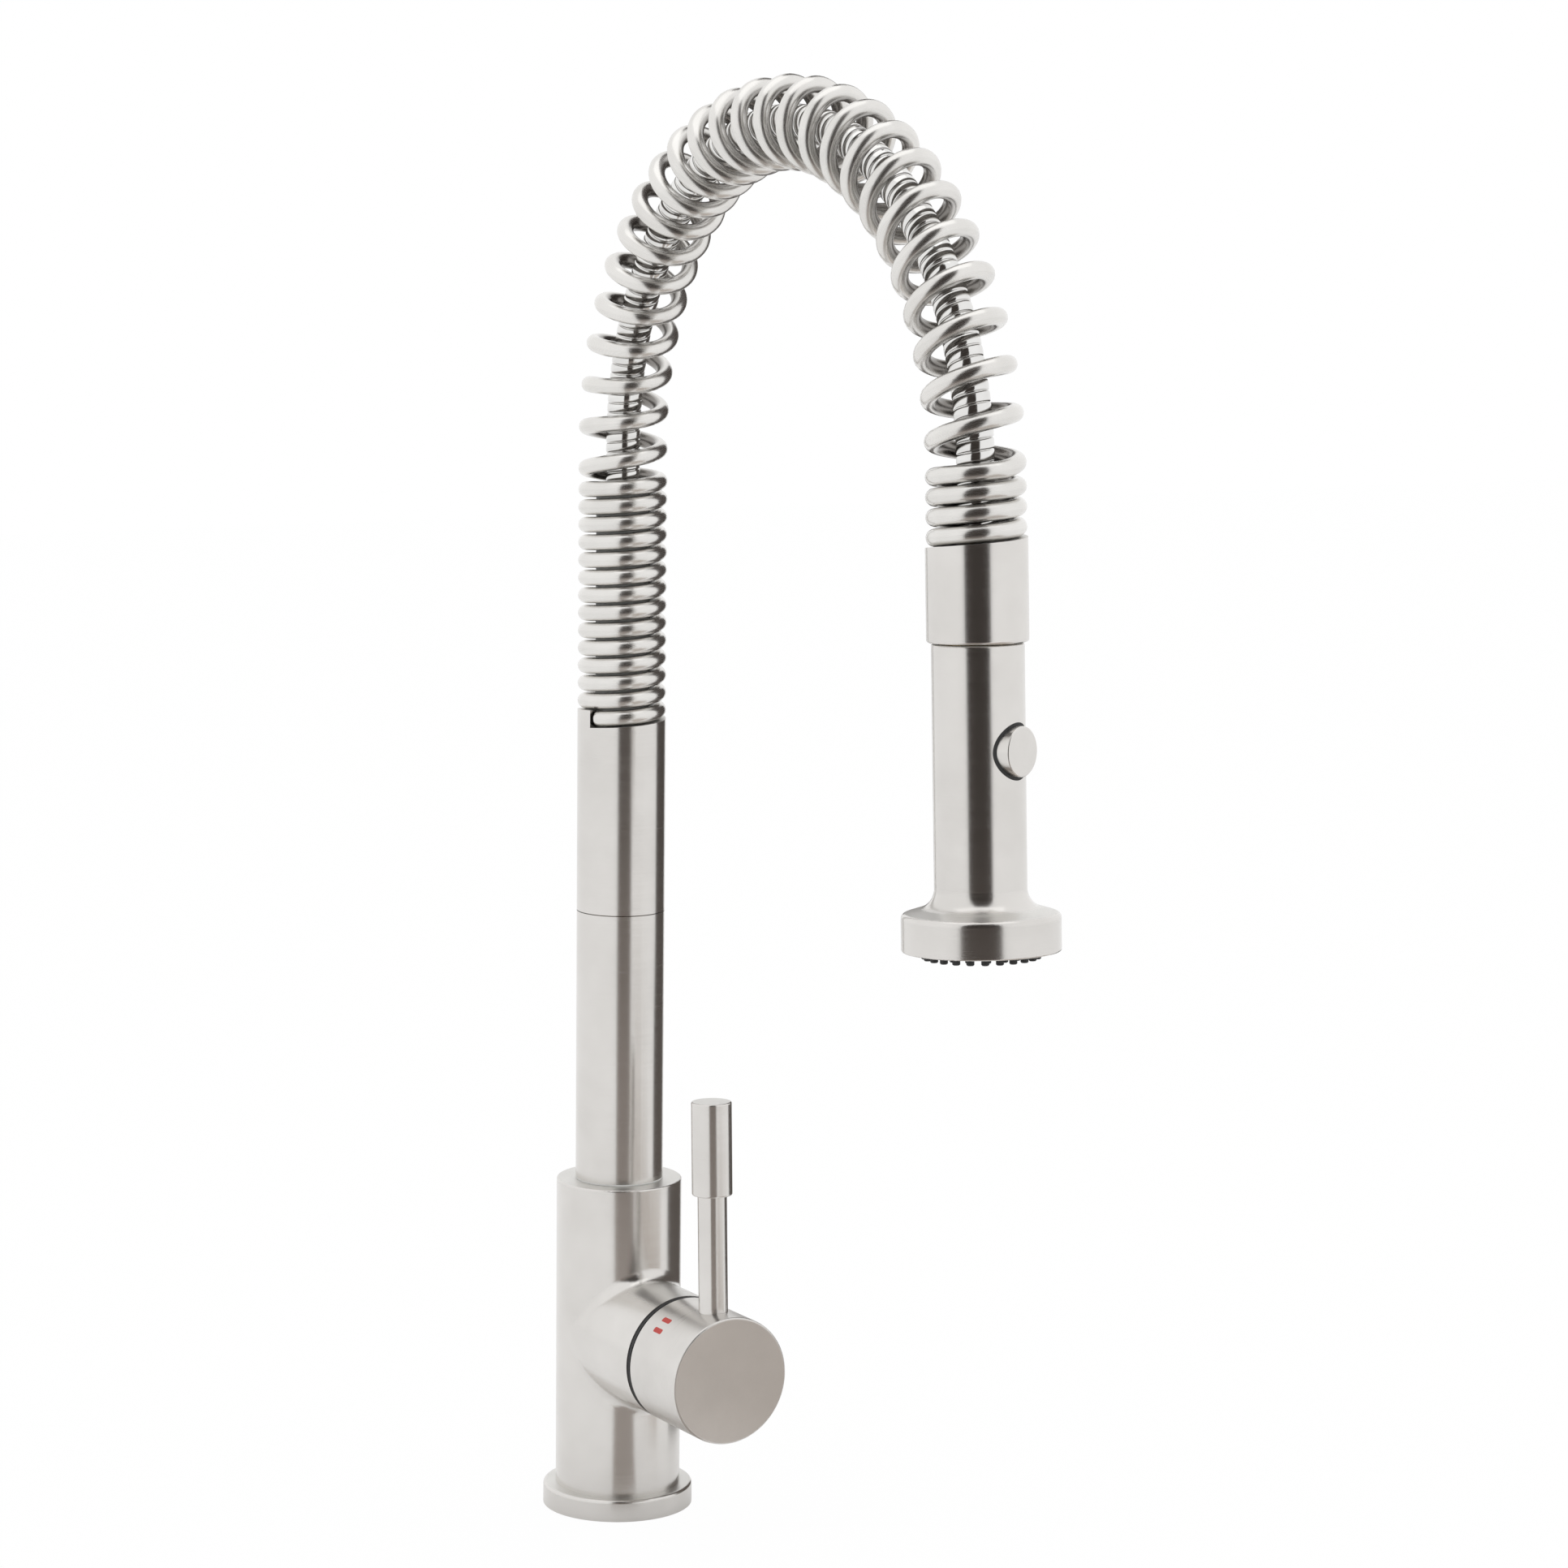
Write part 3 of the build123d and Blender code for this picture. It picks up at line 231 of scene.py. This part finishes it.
def brushedSteel(name, line, b=brushing):
    t = Tree(name)
    axis = tuple(Vector(line["axis"]).normalized())
    coordinates = t.add("ShaderNodeTexCoord").outputs
    away = t.vector("SUBTRACT", coordinates["Object"], tuple(line["through"]))
    along = t.vector("DOT_PRODUCT", away, axis)
    fine = t.vector("ADD", t.vector("SCALE", away, scale=b["lineLength"]),
                    t.vector("SCALE", axis, scale=t.math("MULTIPLY", along, b["linesPerMetre"])))
    lines = t.noise(fine, detail=3, rough=0.65)
    cloud = t.noise(away, scale=b["cloudScale"], detail=3, rough=0.55)
    patches = t.span(cloud, 0, 1, *cloudMiddle)
    t.set("Base Color", t.mix(patches, shade(b["colour"]), shade(b["darker"])))
    lineRoughness = t.span(lines, *b["roughness"], *grainMiddle)
    t.set("Roughness", t.math("ADD", lineRoughness, t.span(cloud, *b["cloudRoughness"])))
    t.set("Metallic", 1.0)
    t.set("Anisotropic", b["spread"])
    # the grain runs round the axis, so reflections spread square to it
    around = t.vector("CROSS_PRODUCT", axis, away)
    toWorld = t.add("ShaderNodeVectorTransform",
                    vector_type="VECTOR", convert_from="OBJECT", convert_to="WORLD")
    t.join(around, toWorld.inputs[0])
    normal = t.add("ShaderNodeNewGeometry").outputs["Normal"]
    t.set("Tangent", t.vector("CROSS_PRODUCT", normal, toWorld.outputs[0]))
    grooves = t.bump(lines, *b["lineBump"])
    # end faces, square to the axis, are evenly dull
    end = t.add("ShaderNodeBsdfPrincipled")
    endDarker = [part * b["endDarker"] for part in b["endColour"]]
    grain = t.noise(away, scale=b["endGrain"], detail=3, rough=0.6)
    t.feed(end.inputs["Metallic"], 1.0)
    t.feed(end.inputs["Base Color"], t.mix(patches, shade(b["endColour"]), shade(endDarker)))
    t.feed(end.inputs["Roughness"], t.span(grain, *b["endRoughness"], *grainMiddle))
    t.feed(end.inputs["Normal"], grooves)
    facing = t.math("ABSOLUTE", t.vector("DOT_PRODUCT", coordinates["Normal"], axis))
    t.mixShaders(t.span(facing, 0, 1, *b["endFacing"]), t.shader, end)
    return t.material


# drawn wire and strip, with their grain along the piece
runMap = "run"    # runs across a piece in u and along it in v
drawing = {
    "cloudScale": 70,
    "lineBump": (0.06, 0.00004),
}
wire = {
    **drawing,
    "colour": (0.80, 0.785, 0.76),
    "darker": (0.74, 0.725, 0.70),
    # painted shade for the coil's inner side, where it lies in shade between the turns
    "inside": (0.26, 0.245, 0.23),
    "insideFrom": (0.26, 0.36),    # distance from the middle of the outer side, in u
    "roughness": (0.22, 0.30),
    "spread": 0.6,
    "lines": (50, 1.5),
}
strip = {
    **drawing,
    "colour": (0.83, 0.825, 0.81),
    "darker": (0.74, 0.73, 0.715),
    "roughness": (0.09, 0.15),
    "spread": 0.3,
    "lines": (2, 40),
}


def drawnMetal(name, d):
    t = Tree(name)
    acrossAndAlong = t.add("ShaderNodeUVMap", uv_map=runMap).outputs["UV"]
    stretched = t.vector("MULTIPLY", acrossAndAlong, (*d["lines"], 0))
    lines = t.noise(stretched, detail=3, rough=0.6)
    cloud = t.noise(t.add("ShaderNodeTexCoord").outputs["Object"], scale=d["cloudScale"])
    colour = t.mix(t.span(cloud, 0, 1, *cloudMiddle), shade(d["colour"]), shade(d["darker"]))
    if "inside" in d:
        # painted shade: the coil's inner side, where shade falls between the turns, is darkened towards
        # the inside colour
        across = t.add("ShaderNodeSeparateXYZ")
        t.join(acrossAndAlong, across.inputs[0])
        fromOutside = t.math("ABSOLUTE", t.math("SUBTRACT", across.outputs["X"], 0.5))
        paintedInnerShade = t.span(fromOutside, 0, 1, *d["insideFrom"])
        colour = t.mix(paintedInnerShade, colour, shade(d["inside"]))
    t.set("Base Color", colour)
    t.set("Roughness", t.span(lines, *d["roughness"], *grainMiddle))
    t.set("Metallic", 1.0)
    t.set("Anisotropic", d["spread"])
    tangent = t.add("ShaderNodeTangent", direction_type="UV_MAP", uv_map=runMap)
    t.set("Tangent", tangent.outputs[0])
    t.bump(lines, *d["lineBump"])
    return t.material


# turned metal, mouldings and glaze, with the same fine grain all over
turning = {"metallic": 1.0, "grain": 900, "detail": 3, "rough": 0.6, "cloud": 60, "bump": 0.08}
moulding = {"metallic": 0.0, "grain": 1400, "detail": 2, "rough": 0.5, "cloud": 80, "bump": 0.1}
glazing = dict(moulding, grain=2000, bump=0.04)
grainDepth = 0.00005


def evenFinish(name, colour, darker, roughness, f=moulding):
    t = Tree(name)
    place = t.add("ShaderNodeTexCoord").outputs["Object"]
    grain = t.noise(place, scale=f["grain"], detail=f["detail"], rough=f["rough"])
    cloud = t.noise(place, scale=f["cloud"])
    t.set("Base Color", t.mix(t.span(cloud, 0, 1, *cloudMiddle), shade(colour), shade(darker)))
    t.set("Roughness", t.span(grain, *roughness, *grainMiddle))
    t.set("Metallic", f["metallic"])
    t.bump(grain, f["bump"], grainDepth)
    return t.material


bossHeight = 0.0644
leverLean = radians(2)
columnLine = {"axis": (0, 0, 1), "through": (0, 0, 0)}
bossLine = {"axis": (1, 0, 0), "through": (0, 0, bossHeight)}
leverLine = {"axis": (-sin(leverLean), 0, cos(leverLean)), "through": (0.0689, 0, bossHeight)}
handsetLine = {"axis": handsetDown, "through": archEnd}

steelColumn = brushedSteel("steelColumn", columnLine)
steelCap = brushedSteel("steelCap", bossLine, capBrushing)
steelLever = brushedSteel("steelLever", leverLine)
steelHandset = brushedSteel("steelHandset", handsetLine)
wireSatin = drawnMetal("wireSatin", wire)
hosePolish = drawnMetal("hosePolish", strip)
turnedSteel = evenFinish("turnedSteel", (0.56, 0.56, 0.55), (0.48, 0.48, 0.47), (0.25, 0.36), turning)
turnedBrass = evenFinish("turnedBrass", (0.72, 0.56, 0.30), (0.60, 0.45, 0.22), (0.25, 0.38), turning)
blackRubber = evenFinish("blackRubber", (0.030, 0.030, 0.031), (0.020, 0.020, 0.021), (0.55, 0.75))
whitePlastic = evenFinish("whitePlastic", (0.70, 0.70, 0.68), (0.64, 0.64, 0.62), (0.35, 0.5))
tubeLiner = evenFinish("tubeLiner", (0.62, 0.65, 0.68), (0.55, 0.58, 0.61), (0.3, 0.4))
whiteCeramic = evenFinish("whiteCeramic", (0.82, 0.81, 0.78), (0.78, 0.77, 0.74), (0.12, 0.2), glazing)
redEnamel = evenFinish("redEnamel", (0.50, 0.035, 0.025), (0.42, 0.03, 0.02), (0.28, 0.4))
blueEnamel = evenFinish("blueEnamel", (0.03, 0.07, 0.42), (0.02, 0.05, 0.34), (0.28, 0.4))

finishes = {
    "polished_steel": wireSatin, "plain_steel": turnedSteel, "brass": turnedBrass,
    "black_rubber": blackRubber, "white_plastic": whitePlastic, "hose_liner": tubeLiner,
    "ceramic": whiteCeramic, "red_enamel": redEnamel, "blue_enamel": blueEnamel,
}
brushedPieces = {
    "base_flange": steelColumn, "body": steelColumn, "riser_lower_tube": steelColumn,
    "riser_upper_tube": steelColumn, "dome_ring": steelCap, "handle_cap": steelCap,
    "lever_rod": steelLever, "lever_grip": steelLever, "spring_collar": steelHandset,
    "handset_shell": steelHandset, "spray_button": steelHandset, "spray_plate": steelHandset,
}


def coat(obj, material):
    obj.data.materials.clear()
    obj.data.materials.append(material)


for part in frame["record"]["subparts"]:
    name = part["node"]
    coat(nodes[name], brushedPieces.get(name) or finishes[part["material_slot"]])
print("finishes given")


# spring, hose armour and liner
def spoutPoint(length):
    # place and direction on the spout's centre line, its length counted from the deck
    swept = (length - spout["archStart"]) / spout["archRadius"]
    if swept <= 0:
        return Vector((0, 0, length)), Vector((0, 0, 1))
    if swept < spout["archTurn"]:
        across = spout["archRadius"] * (1 - cos(swept))
        rise = spout["archRadius"] * sin(swept)
        return Vector((across, 0, spout["archStart"] + rise)), Vector((sin(swept), 0, cos(swept)))
    return archEnd + handsetDown * (length - spoutLength), handsetDown


def offSpout(length, angle):
    along = spoutPoint(length)[1]
    return Vector((-along.z, 0, along.x)) * cos(angle) + Vector((0, -1, 0)) * sin(angle)


def circle(centre, a, b, radius, sides):
    angles = [2 * pi * k / sides for k in range(sides)]
    return [centre + (a * cos(t) + b * sin(t)) * radius for t in angles]


def ringMesh(name, rings, climb=0, capped=True):
    # each ring is a list of points, and the map runs round a ring in u and from ring to ring in v
    # where a ring is one turn of a screw line, its last point joins the ring that is climb rings on
    ringsPerMap = 50
    sides = len(rings[0])
    points = [point for ring in rings for point in ring]
    faces, corners = [], []
    for i in range(len(rings) - 1 - climb):
        for j in range(sides):
            k = (j + 1) % sides
            low = (i if k else i + climb) * sides + k
            faces.append((i * sides + j, low, low + sides, (i + 1) * sides + j))
            corners += [(j, i), (j + 1, i), (j + 1, i + 1), (j, i + 1)]
    caps = []
    if capped:
        last = (len(rings) - 1) * sides
        caps = [tuple(reversed(range(sides))), tuple(range(last, last + sides))]
    mesh = bpy.data.meshes.new(name)
    mesh.from_pydata(points, [], faces + caps)
    layer = mesh.uv_layers.new(name=runMap)
    for place, (u, v) in enumerate(corners):
        layer.data[place].uv = (u / sides, v / ringsPerMap)
    for face in mesh.polygons:
        face.use_smooth = face.index < len(faces)
    loose = bmesh.new()
    loose.from_mesh(mesh)
    bmesh.ops.recalc_face_normals(loose, faces=loose.faces)
    loose.to_mesh(mesh)
    loose.free()
    return addObject(name, mesh)


spring = {
    "wireRadius": 0.00281,
    "coilRadius": 0.0129,
    "closePitch": 0.00624,
    "start": 0.2882,
    "startAngle": radians(110),
    "closeTurns": 13.71,    # on the riser
    "openTurns": 24.96,     # free, up to the end of the arch
    "endTurns": 3.67,       # close again, above the collar
    "stepsPerTurn": 56,
    "sides": 18,
    "tipRadius": 0.86,      # of the wire's radius, where its ends are cut
    "tipLength": 0.0004,
}


def springPlace(turns, s=spring):
    openStart = s["start"] + s["closeTurns"] * s["closePitch"]
    openEnd = s["closeTurns"] + s["openTurns"]
    if turns < s["closeTurns"]:
        length = s["start"] + turns * s["closePitch"]
    elif turns < openEnd:
        length = openStart + (spoutLength - openStart) * (turns - s["closeTurns"]) / s["openTurns"]
    else:
        length = spoutLength + (turns - openEnd) * s["closePitch"]
    outward = offSpout(length, s["startAngle"] + 2 * pi * turns)
    return spoutPoint(length)[0] + outward * s["coilRadius"], outward


def makeSpring(s):
    turns = s["closeTurns"] + s["openTurns"] + s["endTurns"]
    count = round(turns * s["stepsPerTurn"])
    near = 0.002    # turns to either side, which give the wire's direction
    rings = []
    for i in range(count + 1):
        here = turns * i / count
        centre, outward = springPlace(here)
        before, after = springPlace(max(here - near, 0))[0], springPlace(min(here + near, turns))[0]
        run = (after - before).normalized()
        # the map's seam is on the coil's inner side
        inward = (run * outward.dot(run) - outward).normalized()
        side = run.cross(inward)
        if i in (0, count):
            rings.append(circle(centre, inward, side, s["wireRadius"] * s["tipRadius"], s["sides"]))
            centre = centre + run * (s["tipLength"] if i == 0 else -s["tipLength"])
        rings.append(circle(centre, inward, side, s["wireRadius"], s["sides"]))
    rings[-1], rings[-2] = rings[-2], rings[-1]
    obj = ringMesh("springWire", rings)
    coat(obj, wireSatin)
    return obj


armour = {
    "start": 0.272,
    "end": spoutLength + 0.033,    # inside the collar
    "ribs": 140,
    "crest": 0.0060,
    "root": 0.0053,
    # share of a rib's width, and of its height
    "profile": ((0.0, 0.1), (0.03, 0.6), (0.09, 0.85), (0.2, 0.97),
                (0.5, 1.0), (0.8, 0.97), (0.91, 0.85), (0.97, 0.6)),
    "sides": 40,
}


def makeArmour(a):
    # strip wound in a screw line, each turn a band with rounded edges over a dark seam
    pitch = (a["end"] - a["start"]) / a["ribs"]
    rings = []
    for rib in range(-1, a["ribs"] + 1):
        for share, height in a["profile"]:
            radius = a["root"] + (a["crest"] - a["root"]) * height
            ring = []
            for k in range(a["sides"]):
                angle = 2 * pi * k / a["sides"]
                length = a["start"] + (rib + share + angle / (2 * pi)) * pitch
                length = min(max(length, a["start"]), a["end"])
                ring.append(spoutPoint(length)[0] + offSpout(length, angle) * radius)
            rings.append(ring)
    obj = ringMesh("hoseArmourWound", rings, climb=len(a["profile"]), capped=False)
    coat(obj, hosePolish)
    return obj


liner = {
    "start": 0.1447,
    "end": spoutLength + 0.041,    # on the handset's inlet
    "radius": 0.004,
    "bore": 0.003,
    "steps": 120,
    "sides": 24,
}


def makeLiner(h):
    outside, inside = [], []
    for i in range(h["steps"] + 1):
        length = h["start"] + (h["end"] - h["start"]) * i / h["steps"]
        place = spoutPoint(length)[0]
        a, b = offSpout(length, 0), offSpout(length, pi / 2)
        outside.append(circle(place, a, b, h["radius"], h["sides"]))
        inside.append(circle(place, a, b, h["bore"], h["sides"]))
    obj = ringMesh("hoseLinerTube", outside + inside[::-1] + [outside[0]], capped=False)
    coat(obj, tubeLiner)
    return obj


# the made pieces stand in for the spring and hose nodes, which are hidden
springWire = makeSpring(spring)
hoseArmour = makeArmour(armour)
hoseLiner = makeLiner(liner)
for piece, node, slot in (
    (springWire, "spring", "polished_steel"),
    (hoseArmour, "hose_armour", "polished_steel"),
    (hoseLiner, "hose_liner", "hose_liner"),
):
    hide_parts(node)
    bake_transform(piece)
print("spring and hose made")

# return springs inside the handset, for the valve and the button, carried with the handset
valveSeatDrop = 0.06205    # below the arch's end
buttonDrop = 0.0868
buttonSeatDepth = 0.0115    # from the handset's axis to the back of the button's spring
buttonTurn = radians(21.5)    # round the handset, from the side that faces away from the riser
buttonOut = handsetSide * cos(buttonTurn) + Vector((0, sin(buttonTurn), 0))
returnSpring = {
    "turns": 3,
    "endGap": 0.00005,    # from the wire to what it stands on
    "stepsPerTurn": 40,
    "sides": 12,
}
valveSpring = {
    **returnSpring,
    "foot": archEnd + handsetDown * valveSeatDrop,
    "along": handsetDown,
    "first": handsetSide,
    "room": 0.00495,
    "coilRadius": 0.00335,
    "wireRadius": 0.00025,
    "travel": 0.002,
}
buttonSpring = {
    **returnSpring,
    "foot": archEnd + handsetDown * buttonDrop - buttonOut * buttonSeatDepth,
    "along": buttonOut,
    "first": handsetDown,
    "room": 0.0045,
    "coilRadius": 0.0026,
    "wireRadius": 0.0003,
    "travel": 0.0025,
}


def makeReturnSpring(name, s):
    steps = s["turns"] * s["stepsPerTurn"]
    climb = s["room"] - 2 * s["wireRadius"] - 2 * s["endGap"]
    second = s["along"].cross(s["first"])
    rings = []
    for i in range(steps + 1):
        angle = 2 * pi * s["turns"] * i / steps
        outward = s["first"] * cos(angle) + second * sin(angle)
        turning = second * cos(angle) - s["first"] * sin(angle)
        rise = s["wireRadius"] + s["endGap"] + climb * i / steps
        run = (turning * 2 * pi * s["turns"] * s["coilRadius"] + s["along"] * climb).normalized()
        centre = s["foot"] + outward * s["coilRadius"] + s["along"] * rise
        rings.append(circle(centre, -outward, run.cross(-outward), s["wireRadius"], s["sides"]))
    obj = ringMesh(name, rings)
    coat(obj, turnedSteel)
    return obj


for name, node, joint, s, fixedEnd in (
    ("valveSpringWire", "valve_spring", "check_valve_lift", valveSpring, valveSpring["room"]),
    ("buttonSpringWire", "diverter_spring", "spray_button_press", buttonSpring, 0),
):
    piece = makeReturnSpring(name, s)
    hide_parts(node)
    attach(piece, "handset")
    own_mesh(piece)
print("return springs made")


# floor, background and lamp
def flatSheet(name, corners):
    mesh = bpy.data.meshes.new(name)
    mesh.from_pydata(corners, [], [(0, 1, 2, 3)])
    return addObject(name, mesh)


stage = {
    "floorSize": 8.0,
    "floorWhite": 0.92,
    "floorRoughness": 0.9,
    "cameraShare": 0.97,    # of plain white in what the camera sees of the floor
    "world": 1.0,
}


def makeFloor(s):
    half = s["floorSize"] / 2
    floor = flatSheet("floor", [(-half, -half, 0), (half, -half, 0), (half, half, 0), (-half, half, 0)])
    t = Tree("floorPaper")
    t.set("Base Color", shade((s["floorWhite"],) * 3))
    t.set("Roughness", s["floorRoughness"])
    glow = t.add("ShaderNodeEmission")
    glow.inputs["Color"].default_value = white
    seen = t.add("ShaderNodeLightPath").outputs["Is Camera Ray"]
    t.mixShaders(t.math("MULTIPLY", seen, s["cameraShare"]), t.shader, glow)
    floor.data.materials.append(t.material)


def makeWorld(s):
    world = bpy.data.worlds.new("whiteStudio")
    world.use_nodes = True
    back = world.node_tree.nodes["Background"]
    back.inputs["Color"].default_value = white
    back.inputs["Strength"].default_value = s["world"]
    bpy.context.scene.world = world


softbox = {"place": (0.1, 0.05, 1.5), "size": 1.1, "power": 1.1}


def makeSoftbox(b):
    data = bpy.data.lights.new("overheadSoftbox", "AREA")
    data.shape = "SQUARE"
    data.size = b["size"]
    data.energy = b["power"]
    addObject("overheadSoftbox", data).location = b["place"]


# dark cards that only the metal's reflections show
# corners are (right in the picture, towards the camera), counted from the column
rightward = Vector((sin(camera["heading"]), -cos(camera["heading"]), 0))
towards = Vector((-cos(camera["heading"]), -sin(camera["heading"]), 0))
cards = {
    "frontCard": {
        "standing": ((-0.05, 0.48), (0.262, 0.48)), "low": 0.0, "high": 1.1,
        "glow": (0.27, 0.235, 0.215), "upperGlow": (0.045, 0.038, 0.034), "fade": (0.06, 0.25),
    },
    "sideCard": {
        "standing": ((0.118, -0.023), (0.06, -0.104)), "low": 0.0, "high": 0.75,
        "glow": (0.12, 0.105, 0.095), "upperGlow": (0.08, 0.07, 0.065), "fade": (0.10, 0.30),
    },
    "leverCard": {
        "standing": ((0.350, -0.068), (0.25, -0.30)), "low": 0.0, "high": 0.13,
        "glow": (0.07, 0.06, 0.055),
    },
    "floorCard": {
        "lying": ((-0.004, 0.045), (0.026, 0.045), (0.254, 0.48), (-0.05, 0.48)),
        "level": 0.001, "glow": (0.37, 0.335, 0.31),
    },
    "warmCard": {
        "lying": ((0.11, 0.04), (0.48, 0.04), (0.58, 0.50), (0.27, 0.50)),
        "level": 0.0015, "glow": (0.52, 0.47, 0.43),
    },
}


def cardPoint(u, v, height):
    return rightward * u + towards * v + Vector((0, 0, height))


def makeCard(name, c):
    if "standing" in c:
        a, b = c["standing"]
        corners = [cardPoint(*a, c["low"]), cardPoint(*b, c["low"]),
                   cardPoint(*b, c["high"]), cardPoint(*a, c["high"])]
    else:
        corners = [cardPoint(u, v, c["level"]) for u, v in c["lying"]]
    card = flatSheet(name, corners)
    t = Tree(name + "Cloth")
    t.set("Base Color", black)
    t.set("Specular IOR Level", 0.0)
    t.set("Emission Strength", 1.0)
    place = t.add("ShaderNodeSeparateXYZ")
    t.join(t.add("ShaderNodeTexCoord").outputs["Object"], place.inputs[0])
    risen = t.span(place.outputs["Z"], 0, 1, *c.get("fade", (0, 1)))
    upperGlow = c.get("upperGlow", c["glow"])
    t.set("Emission Color", t.mix(risen, shade(c["glow"]), shade(upperGlow)))
    card.data.materials.append(t.material)
    card.visible_camera = False
    card.visible_diffuse = False
    card.visible_shadow = False


makeFloor(stage)
makeWorld(stage)
makeSoftbox(softbox)
for name, values in cards.items():
    makeCard(name, values)
print("stage set")
